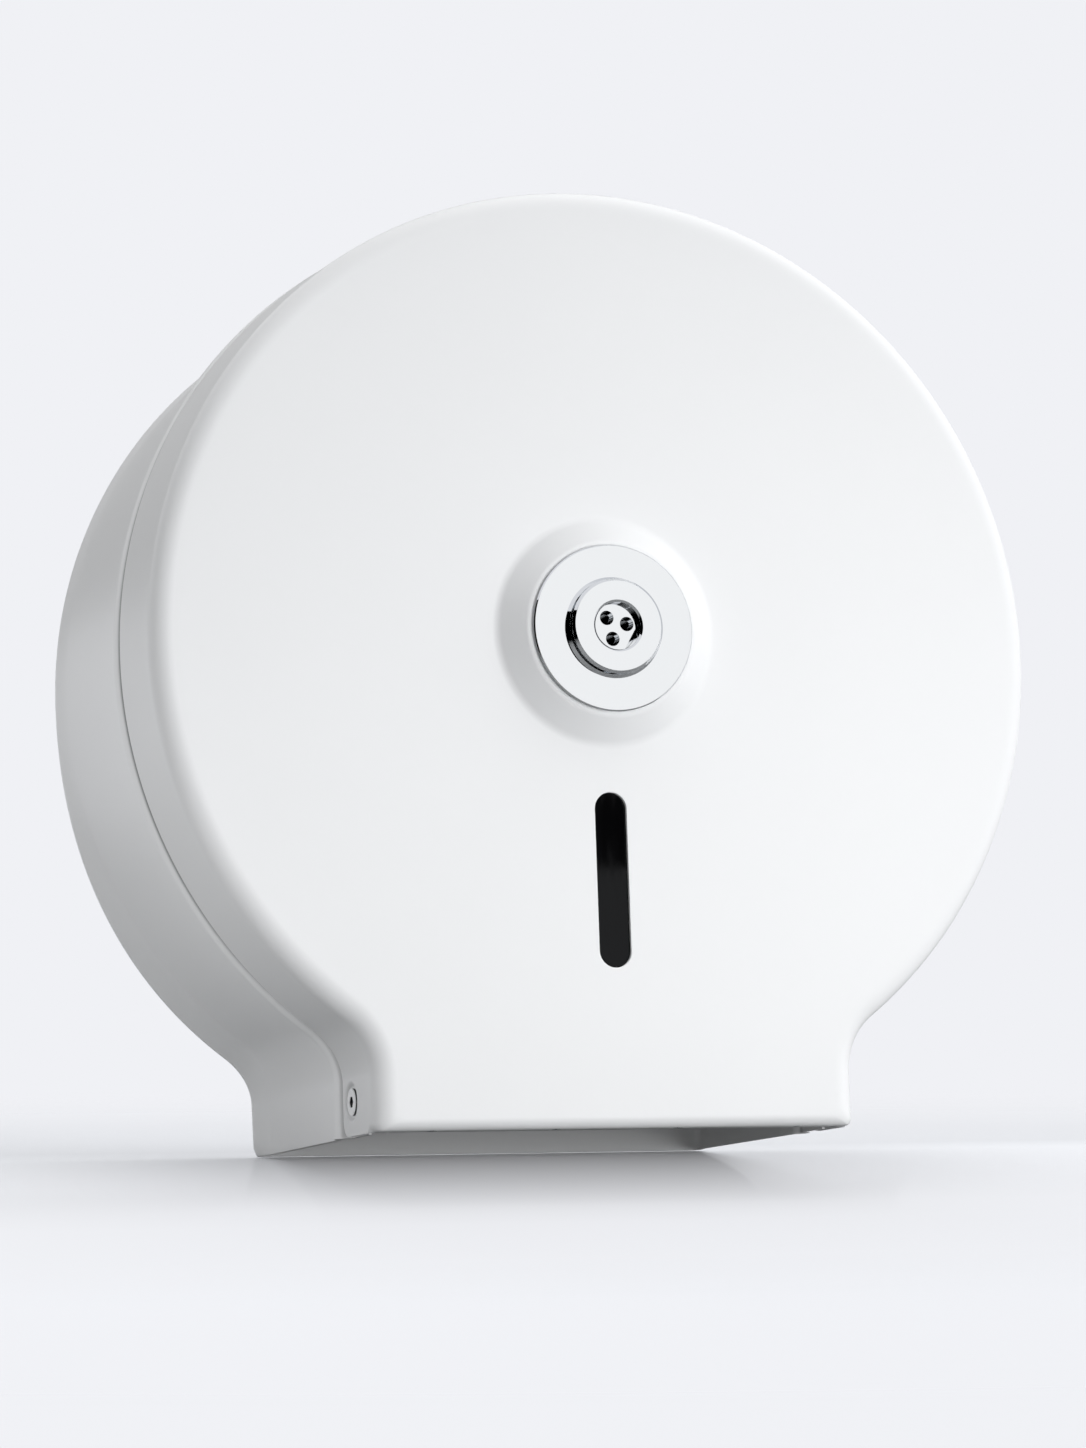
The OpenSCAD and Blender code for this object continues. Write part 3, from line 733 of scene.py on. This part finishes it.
def rear_rows(s):
    """The rear shell's section as rows of (depth and inset round the arcs, depth and inset in the neck,
    share of the swell)."""
    rows = []
    # rounded back edge
    back_r, rim = 3 * MM, 2.3 * MM
    for i in range(7):
        a = math.pi / 2 * i / 6
        d, inset = back_r * (1 - math.cos(a)), rim + back_r * (1 - math.sin(a))
        rows.append((d, inset, d, inset - 0.9 * MM, 1))
    # flared rim
    wall = rim + s.flare
    for i in range(11):
        t = i / 10
        d, fall = (4.4 + 11 * t) * MM, 1 - (1 - t) ** 2
        rows.append((d, rim + s.flare * fall, d, (1.4 + 0.6 * fall) * MM, 1 - fall))
    # side wall, a little wider towards the seam
    rows += [(40 * MM, wall - 0.45 * MM, 40 * MM, 1.9 * MM, 0),
             (70 * MM, wall - 0.95 * MM, 70 * MM, 1.75 * MM, 0)]
    # bead, with a soft start
    base, neck_base = wall - 1.5 * MM, 1.6 * MM
    for d, lift in ((86.4, 0), (87.8, 0.03), (88.6, 0.18), (89.1, 0.5)):
        rows.append((d * MM, base - lift * MM, d * MM, neck_base - 0.8 * lift * MM, 0))
    for i in range(13):
        a = math.radians(20 + 12.5 * i)
        rows.append(((93.6 - 4.4 * math.cos(a)) * MM, base - s.bead * math.sin(a),
                     (93.4 - 4.2 * math.cos(a)) * MM, neck_base - 0.8 * s.bead * math.sin(a), 0))
    # lip under the cover
    rows += [(98.6 * MM, 2.3 * MM, 98.0 * MM, 2.3 * MM, 0), (99.4 * MM, 2.75 * MM, 98.6 * MM, 2.8 * MM, 0),
             (100.6 * MM, 2.9 * MM, 99.6 * MM, 2.9 * MM, 0), (104 * MM, 2.9 * MM, 106 * MM, 2.9 * MM, 0),
             (109 * MM, 2.9 * MM, 116 * MM, 2.9 * MM, 0)]
    return rows


def rear_skin(s, k):
    """Outer skin of the drawn rear shell: back wall, flared rim, side wall, bead and lip."""
    bm = bmesh.new()
    row, ways, _, _ = half_outline(bm, s, 0)
    rows = rear_rows(s)

    def places(section):
        d, inset, neck_d, neck_inset, swell = section
        return [w.at(neck_inset + (inset - neck_inset) * w.draft - s.swell * swell * w.swell, 0,
                     neck_d + (d - neck_d) * w.draft) for w in ways]

    for v, place in zip(row, places(rows[0])):
        v.co = place
    back = row
    for section in rows[1:]:
        row = next_row(bm, row, places(section))
    middle = bm.verts.new((0, 0, -s.drop))
    loop = edges_of(bm, back + [middle, back[0]])
    # across, up and radius in millimetres: the right half's two fixing holes, and two for the axle's rivets
    holes = [(65, 55, 3), (65, -55, 3)]
    holes += [(22 * math.cos(a), k.rise / MM + 22 * math.sin(a), 2.05) for a in (math.pi / 4, -math.pi / 4)]
    for x, z, radius in holes:
        lie = Matrix.Translation((x * MM, 0, z * MM)) @ Matrix.Rotation(math.pi / 2, 4, "X")
        ring = bmesh.ops.create_circle(bm, segments=32, radius=radius * MM, matrix=lie)
        loop += edges_of(bm, ring["verts"] + ring["verts"][:1])
    bmesh.ops.triangle_fill(bm, use_beauty=True, use_dissolve=True, edges=loop, normal=(0, 1, 0))
    return whole_skin(bm, 1)


# ---- operators, one for each piece or group of like pieces ----


class DISPENSER_OT_rear_shell(bpy.types.Operator):
    """Draws the rear shell over its frame solid"""

    bl_idname = "dispenser.rear_shell"
    bl_label = "Rear shell"

    def execute(self, context):
        paint = finish("white powder coat", powder_coat, context.scene.dispenser_finishes.paint)
        bm = rear_skin(context.scene.dispenser_casing, context.scene.dispenser_lock)
        made = piece("rear_shell", bm, "casing", ["rear_casing"], paint)
        thicken(made, context.scene.dispenser_casing.sheet)
        return {"FINISHED"}


class DISPENSER_OT_cover_shell(bpy.types.Operator):
    """Draws the hinged cover over its frame solid"""

    bl_idname = "dispenser.cover_shell"
    bl_label = "Cover"

    def execute(self, context):
        paint = finish("white powder coat", powder_coat, context.scene.dispenser_finishes.paint)
        bm = cover_skin(context.scene.dispenser_casing, context.scene.dispenser_lock)
        made = piece("cover_shell", bm, "cover", ["front_cover"], paint)
        thicken(made, context.scene.dispenser_casing.sheet)
        return {"FINISHED"}


class DISPENSER_OT_lock(bpy.types.Operator):
    """Turns the bright disc and the stepped barrel, and finishes the key face"""

    bl_idname = "dispenser.lock"
    bl_label = "Lock"

    def execute(self, context):
        k = context.scene.dispenser_lock
        chrome = finish("polished chrome", polished_chrome, context.scene.dispenser_finishes.chrome)
        foot = context.scene.dispenser_casing.face + k.boss_height
        front = foot + 1.5 * MM
        # disc with an undercut edge
        disc = turned([(9.6 * MM, foot), (k.disc - 0.7 * MM, foot), (k.disc, front - 0.4 * MM),
                       (k.disc - 0.4 * MM, front), (9.6 * MM, front)], k.rise, 0.05 * MM)
        even_shading(piece("lock_disc", disc, "cover", ["lock_bezel"], chrome))
        # barrel: foot ring, waist, chamfered head, and the bore that the key face turns in
        top = front + 4.1 * MM
        back = 118 * MM
        rim = k.barrel + 0.14 * MM
        barrel = turned([
            (4.05 * MM, back), (9.5 * MM, back), (9.5 * MM, front), (rim + 0.94 * MM, front),
            (rim, front + 1.0 * MM), (k.barrel - 1.4 * MM, front + 1.0 * MM),
            (k.barrel - 1.4 * MM, top - 1.1 * MM), (rim, top - 0.95 * MM),
            (rim, top - 0.8 * MM), (rim - 0.8 * MM, top), (8.1 * MM, top),
            (7.45 * MM, top - 0.5 * MM), (7.45 * MM, back + 3 * MM), (4.05 * MM, back + 3 * MM)],
            k.rise, 0.06 * MM)
        even_shading(piece("lock_barrel", barrel, "cover", ["lock_body"], chrome))
        paint_nodes(["lock_rotor"], chrome)
        return {"FINISHED"}


class DISPENSER_OT_plated_parts(bpy.types.Operator):
    """Finishes the plated steel parts inside and the latch"""

    bl_idname = "dispenser.plated_parts"
    bl_label = "Plated parts"

    def execute(self, context):
        plate = finish("bright zinc plate", plated_steel, context.scene.dispenser_finishes.plate)
        paint_nodes(["spindle_flange", "spindle_rivets", "spindle", "hub_washer", "hub_clip",
                     "strike_bracket", "strike_nut", "hinge_nuts", "lock_washer", "lock_nut",
                     "window_clips", "lock_cam", "cam_screw"], plate)
        return {"FINISHED"}


class DISPENSER_OT_hinge(bpy.types.Operator):
    """Finishes the painted hinge screws and their plastic washers"""

    bl_idname = "dispenser.hinge"
    bl_label = "Hinge"

    def execute(self, context):
        colours = context.scene.dispenser_finishes
        screw = finish("painted screw", powder_coat, colours.paint, SOCKET_EDGE)
        paint_nodes(["hinge_screws"], screw)
        paint_nodes(["hinge_washers"], finish("grey moulded plastic", moulded_plastic, colours.plastic))
        return {"FINISHED"}


class DISPENSER_OT_carrier(bpy.types.Operator):
    """Finishes the moulded roll carrier"""

    bl_idname = "dispenser.carrier"
    bl_label = "Roll carrier"

    def execute(self, context):
        plastic = finish("grey moulded plastic", moulded_plastic, context.scene.dispenser_finishes.plastic)
        paint_nodes(["roll_hub", "hub_end_cap"], plastic)
        return {"FINISHED"}


class DISPENSER_OT_window(bpy.types.Operator):
    """Finishes the smoked window behind the level slot; its near-black tone is also painted shade"""

    bl_idname = "dispenser.window"
    bl_label = "Level window"

    def execute(self, context):
        paint_nodes(["level_window"], finish("smoked acrylic", smoked_acrylic,
                                             context.scene.dispenser_finishes.window))
        return {"FINISHED"}


class DISPENSER_OT_blade(bpy.types.Operator):
    """Finishes the toothed strip and its rivets"""

    bl_idname = "dispenser.blade"
    bl_label = "Tear blade"

    def execute(self, context):
        strip = finish("brushed stainless strip", brushed_strip, context.scene.dispenser_finishes.blade)
        paint_nodes(["tear_blade", "blade_rivets"], strip)
        return {"FINISHED"}


def floor_material(name, code, glow):
    """Pale satin board: a soft even tone with a faint reflection of what stands on it, which takes on the
    backdrop's own tone away from the dispenser and fades out towards its edge. It throws back less light
    than it shows, so that the casing's underside keeps its shade."""
    made, tree, mm = new_material(name)
    cloud = add(tree, "ShaderNodeTexNoise", {"Vector": mm, "Scale": 1 / 400, "Detail": 2.0})
    path = add(tree, "ShaderNodeLightPath")
    base = linear(code)
    tint = add(tree, "ShaderNodeMix", {
        "Factor": cloud.outputs["Fac"], "A": scaled(base, 0.99), "B": base}, data_type="RGBA")
    place = add(tree, "ShaderNodeSeparateXYZ", {0: mm})
    # painted shadow: the board a little darker behind the dispenser; and without a reflection well in front
    # of it
    behind = add(tree, "ShaderNodeMapRange", {
        "Value": place.outputs["Y"], "From Min": -10.0, "From Max": 60.0})
    shadowed = add(tree, "ShaderNodeMix", {
        "Factor": behind.outputs[0], "A": tint.outputs["Result"], "B": linear(FLOOR_SHADOW_BEHIND)},
        data_type="RGBA")
    gloss = add(tree, "ShaderNodeMapRange", {
        "Value": place.outputs["Y"], "From Min": -60.0, "From Max": -150.0, "To Min": 0.12, "To Max": 0.0})
    shown = add(tree, "ShaderNodeMix", {
        "Factor": path.outputs["Is Camera Ray"], "A": linear(FLOOR_BOUNCE), "B": shadowed.outputs["Result"]},
        data_type="RGBA")
    dull = add(tree, "ShaderNodeBsdfDiffuse", {"Color": shown.outputs["Result"]})
    away = add(tree, "ShaderNodeVectorMath", {0: mm}, operation="LENGTH")
    # share of the backdrop's own tone, which the board glows with for the camera: more of it further away,
    # and
    # # more in front, up to 230 mm, where the glow is painted light that lightens the shadow under and
    # before the casing
    lit = add(tree, "ShaderNodeMapRange", {
        "Value": away.outputs["Value"], "From Min": 170.0, "From Max": 640.0,
        "To Min": 0.04, "To Max": 0.75}, interpolation_type="SMOOTHSTEP")
    under = add(tree, "ShaderNodeMapRange", {
        "Value": place.outputs["Y"], "From Min": -8.0, "From Max": -125.0, "To Min": 0.13, "To Max": 0.84})
    before = add(tree, "ShaderNodeMapRange", {
        "Value": place.outputs["Y"], "From Min": -230.0, "From Max": -420.0, "To Min": 1.0, "To Max": 0.4})
    near = add(tree, "ShaderNodeMath", {0: under.outputs[0], 1: before.outputs[0]}, operation="MULTIPLY")
    own = add(tree, "ShaderNodeMath", {0: lit.outputs[0], 1: near.outputs[0]}, operation="MAXIMUM")
    share = add(tree, "ShaderNodeMath", {
        0: own.outputs[0], 1: path.outputs["Is Camera Ray"]}, operation="MULTIPLY")
    tone = add(tree, "ShaderNodeEmission", {"Color": linear(glow), "Strength": 1.0})
    even = add(tree, "ShaderNodeMixShader", {0: share.outputs[0], 1: dull.outputs[0], 2: tone.outputs[0]})
    shine = add(tree, "ShaderNodeBsdfGlossy", {"Color": (1, 1, 1, 1), "Roughness": 0.10})
    board = add(tree, "ShaderNodeMixShader", {0: gloss.outputs[0], 1: even.outputs[0], 2: shine.outputs[0]})
    # the board fades out towards its edge and doesn't show from below
    fade = add(tree, "ShaderNodeMapRange", {
        "Value": away.outputs["Value"], "From Min": 450.0, "From Max": 1100.0},
        interpolation_type="SMOOTHSTEP")
    side = add(tree, "ShaderNodeNewGeometry")
    gone = add(tree, "ShaderNodeMath", {
        0: fade.outputs[0], 1: side.outputs["Backfacing"]}, operation="MAXIMUM")
    clear = add(tree, "ShaderNodeBsdfTransparent")
    both = add(tree, "ShaderNodeMixShader", {0: gone.outputs[0], 1: board.outputs[0], 2: clear.outputs[0]})
    add(tree, "ShaderNodeOutputMaterial", {"Surface": both.outputs[0]})
    return made


def card_material(name, code, strength):
    """Studio card, seen from its front only: black felt for strength 0, or a lit white board."""
    made, tree, _ = new_material(name)
    tone = add(tree, "ShaderNodeEmission", {"Color": linear(code), "Strength": strength})
    side = add(tree, "ShaderNodeNewGeometry")
    clear = add(tree, "ShaderNodeBsdfTransparent")
    both = add(tree, "ShaderNodeMixShader", {
        0: side.outputs["Backfacing"], 1: tone.outputs[0], 2: clear.outputs[0]})
    add(tree, "ShaderNodeOutputMaterial", {"Surface": both.outputs[0]})
    return made


def aimed(place, aim, axis):
    """The placement of something that stands at a place with one of its axes towards a point."""
    turn = (Vector(aim) - Vector(place)).to_track_quat(axis, "Y").to_matrix().to_4x4()
    return Matrix.Translation(place) @ turn


def card(name, centre, size, aim, material):
    """A flat card of the studio, aimed at a point and seen in reflections alone."""
    bm = bmesh.new()
    bmesh.ops.create_grid(bm, x_segments=1, y_segments=1, size=0.5)
    bmesh.ops.scale(bm, verts=bm.verts, vec=(size[0], size[1], 1))
    bmesh.ops.transform(bm, matrix=aimed(centre, aim, "Z"), verts=bm.verts)
    made = smooth_object(name, bm, material)
    for sight in ("visible_camera", "visible_diffuse", "visible_shadow", "visible_transmission"):
        setattr(made, sight, False)


def photo_camera(scene, stage):
    """The camera, placed and turned as the one that took the photograph."""
    lens = bpy.data.cameras.new("photo camera")
    lens.sensor_width = 36
    lens.lens = stage.lens
    lens.clip_end = 50
    camera = bpy.data.objects.new("photo camera", lens)
    scene.collection.objects.link(camera)
    yaw, pitch, roll = stage.turn
    ahead = Vector((math.sin(yaw) * math.cos(pitch), math.cos(yaw) * math.cos(pitch), math.sin(pitch)))
    right = Vector((math.cos(yaw), -math.sin(yaw), 0))
    up = right.cross(ahead)
    rolled = right * math.cos(roll) + up * math.sin(roll)
    up = up * math.cos(roll) - right * math.sin(roll)
    turn = Matrix((rolled, up, -ahead)).transposed()
    camera.matrix_world = Matrix.Translation(stage.place) @ turn.to_4x4()
    scene.camera = camera


def floor_height(stage, depth):
    """Height of the floor at a depth in front of the wall plane, from its height at the plane."""
    dip = soft_step((depth - DIP_START) / (DIP_END - DIP_START))
    return -depth * math.tan(stage.floor_tilt) - stage.floor_dip * dip


def pale_floor(scene, stage, colours):
    """The floor, just below the dispenser, falling away and dipping in front. Returns its object."""
    level = -scene.dispenser_casing.drop - 0.1 * MM
    dips = [DIP_START + (DIP_END - DIP_START) * i / 45 for i in range(46)]
    depths = [-FLOOR_REACH, -0.4, 0.0] + dips + [0.4, FLOOR_REACH]
    rows = [[Vector((x, -d, level + floor_height(stage, d))) for x in (FLOOR_REACH, -FLOOR_REACH)]
            for d in depths]
    bm = bmesh.new()
    row = [bm.verts.new(place) for place in rows[0]]
    for places in rows[1:]:
        row = next_row(bm, row, places)
    bmesh.ops.recalc_face_normals(bm, faces=bm.faces)
    if sum(f.normal.z for f in bm.faces) < 0:
        bmesh.ops.reverse_faces(bm, faces=bm.faces)
    board = finish("pale floor board", floor_material, colours.floor, colours.backdrop)
    made = smooth_object("floor", bm, board)
    return made


def soft_studio(scene, stage, colours):
    """The world: soft light from a few sides, and the backdrop's tone wherever the camera, a reflection
    or a look through glass meets it."""
    world = bpy.data.worlds.new("soft studio")
    world.use_nodes = True
    tree = world.node_tree
    tree.nodes.clear()
    where = add(tree, "ShaderNodeTexCoord").outputs["Generated"]
    total = None
    for name, source, strength, tint in SOFTBOXES:
        angle = add(tree, "ShaderNodeVectorMath", {
            0: where, 1: Vector(source).normalized()}, operation="DOT_PRODUCT", label=name)
        spot = add(tree, "ShaderNodeMapRange", {
            "Value": angle.outputs["Value"], "From Min": 0.72, "From Max": 0.98,
            "To Max": strength * stage.fill}, interpolation_type="SMOOTHSTEP")
        glow = add(tree, "ShaderNodeVectorMath", {
            0: linear(tint)[:3], "Scale": spot.outputs[0]}, operation="SCALE")
        total = glow if total is None else add(tree, "ShaderNodeVectorMath", {
            0: total.outputs[0], 1: glow.outputs[0]}, operation="ADD")
    light = add(tree, "ShaderNodeBackground", {"Color": total.outputs[0], "Strength": 1.0})
    seen = add(tree, "ShaderNodeBackground", {"Color": linear(colours.backdrop), "Strength": 1.0})
    path = add(tree, "ShaderNodeLightPath")
    direct = add(tree, "ShaderNodeMath", {
        0: path.outputs["Is Camera Ray"], 1: path.outputs["Is Glossy Ray"]}, operation="MAXIMUM")
    shown = add(tree, "ShaderNodeMath", {
        0: direct.outputs[0], 1: path.outputs["Is Transmission Ray"]}, operation="MAXIMUM")
    both = add(tree, "ShaderNodeMixShader", {
        0: shown.outputs[0], 1: light.outputs[0], 2: seen.outputs[0]})
    add(tree, "ShaderNodeOutputWorld", {"Surface": both.outputs[0]})
    scene.world = world


def studio_lamp(scene, name, place, aim, size, power, spared):
    """A square lamp aimed at a point, which doesn't show in reflections or light the objects spared."""
    lamp = bpy.data.lights.new(name, "AREA")
    lamp.shape = "SQUARE"
    lamp.size = size
    lamp.energy = power
    holder = bpy.data.objects.new(name, lamp)
    scene.collection.objects.link(holder)
    holder.matrix_world = aimed(place, aim, "-Z")
    holder.visible_glossy = False
    holder.visible_camera = False
    unlit = bpy.data.collections.new(name + " spares")
    for shade in spared:
        unlit.objects.link(shade)
    for flag in unlit.collection_objects:
        flag.light_linking.link_state = "EXCLUDE"
    holder.light_linking.receiver_collection = unlit


class DISPENSER_OT_stage(bpy.types.Operator):
    """Sets up the camera, the pale floor, the backdrop and the soft light"""

    bl_idname = "dispenser.stage"
    bl_label = "Stage"

    def execute(self, context):
        scene = context.scene
        stage, colours = scene.dispenser_stage, scene.dispenser_finishes
        photo_camera(scene, stage)
        floor = pale_floor(scene, stage, colours)
        soft_studio(scene, stage, colours)
        # no lamp lights the floor, and the inner lamp spares the cover too
        for name, place, aim, size, power in LAMPS:
            spared = [floor]
            if name == "inner lamp":
                spared.append(bpy.data.objects["cover_shell"])
            studio_lamp(scene, name, place, aim, size, power, spared)
        tones = {
            "black": finish("black felt card", card_material, "#000000", 0.0),
            "grey": finish("grey card", card_material, "#a4a6a8", 1.0),
            "white": finish("lit white card", card_material, "#ffffff", 1.15),
        }
        for name, centre, size, aim, tone in CARDS:
            card(name, centre, size, aim, tones[tone])
        scene.view_settings.view_transform = "Standard"
        return {"FINISHED"}


class DISPENSER_PT_panel(bpy.types.Panel):
    """Sizes, finishes and pieces of the dispenser"""

    bl_idname = "DISPENSER_PT_panel"
    bl_label = "Dispenser"
    bl_space_type = "VIEW_3D"
    bl_region_type = "UI"
    bl_category = "Dispenser"

    def draw(self, context):
        for group, holder in GROUPS.items():
            box = self.layout.box()
            box.label(text=group.__doc__)
            values = getattr(context.scene, holder)
            for name in group.__annotations__:
                box.prop(values, name)
        for operator in OPERATORS:
            self.layout.operator(operator.bl_idname)


GROUPS = {
    CasingSizes: "dispenser_casing",
    LockSizes: "dispenser_lock",
    Finishes: "dispenser_finishes",
    StageSettings: "dispenser_stage",
}

OPERATORS = (
    DISPENSER_OT_rear_shell,
    DISPENSER_OT_cover_shell,
    DISPENSER_OT_lock,
    DISPENSER_OT_plated_parts,
    DISPENSER_OT_hinge,
    DISPENSER_OT_carrier,
    DISPENSER_OT_window,
    DISPENSER_OT_blade,
    DISPENSER_OT_stage,
)


def register():
    """Registers the sizes, the operators and the panel."""
    for group, name in GROUPS.items():
        bpy.utils.register_class(group)
        setattr(bpy.types.Scene, name, PointerProperty(type=group))
    for operator in OPERATORS:
        bpy.utils.register_class(operator)
    bpy.utils.register_class(DISPENSER_PT_panel)


def unregister():
    """Takes back what register did, in reverse order."""
    bpy.utils.unregister_class(DISPENSER_PT_panel)
    for operator in reversed(OPERATORS):
        bpy.utils.unregister_class(operator)
    for group, name in reversed(GROUPS.items()):
        delattr(bpy.types.Scene, name)
        bpy.utils.unregister_class(group)


def main():
    register()
    for operator in OPERATORS:
        group, name = operator.bl_idname.split(".")
        getattr(getattr(bpy.ops, group), name)()


if __name__ == "__main__":
    main()
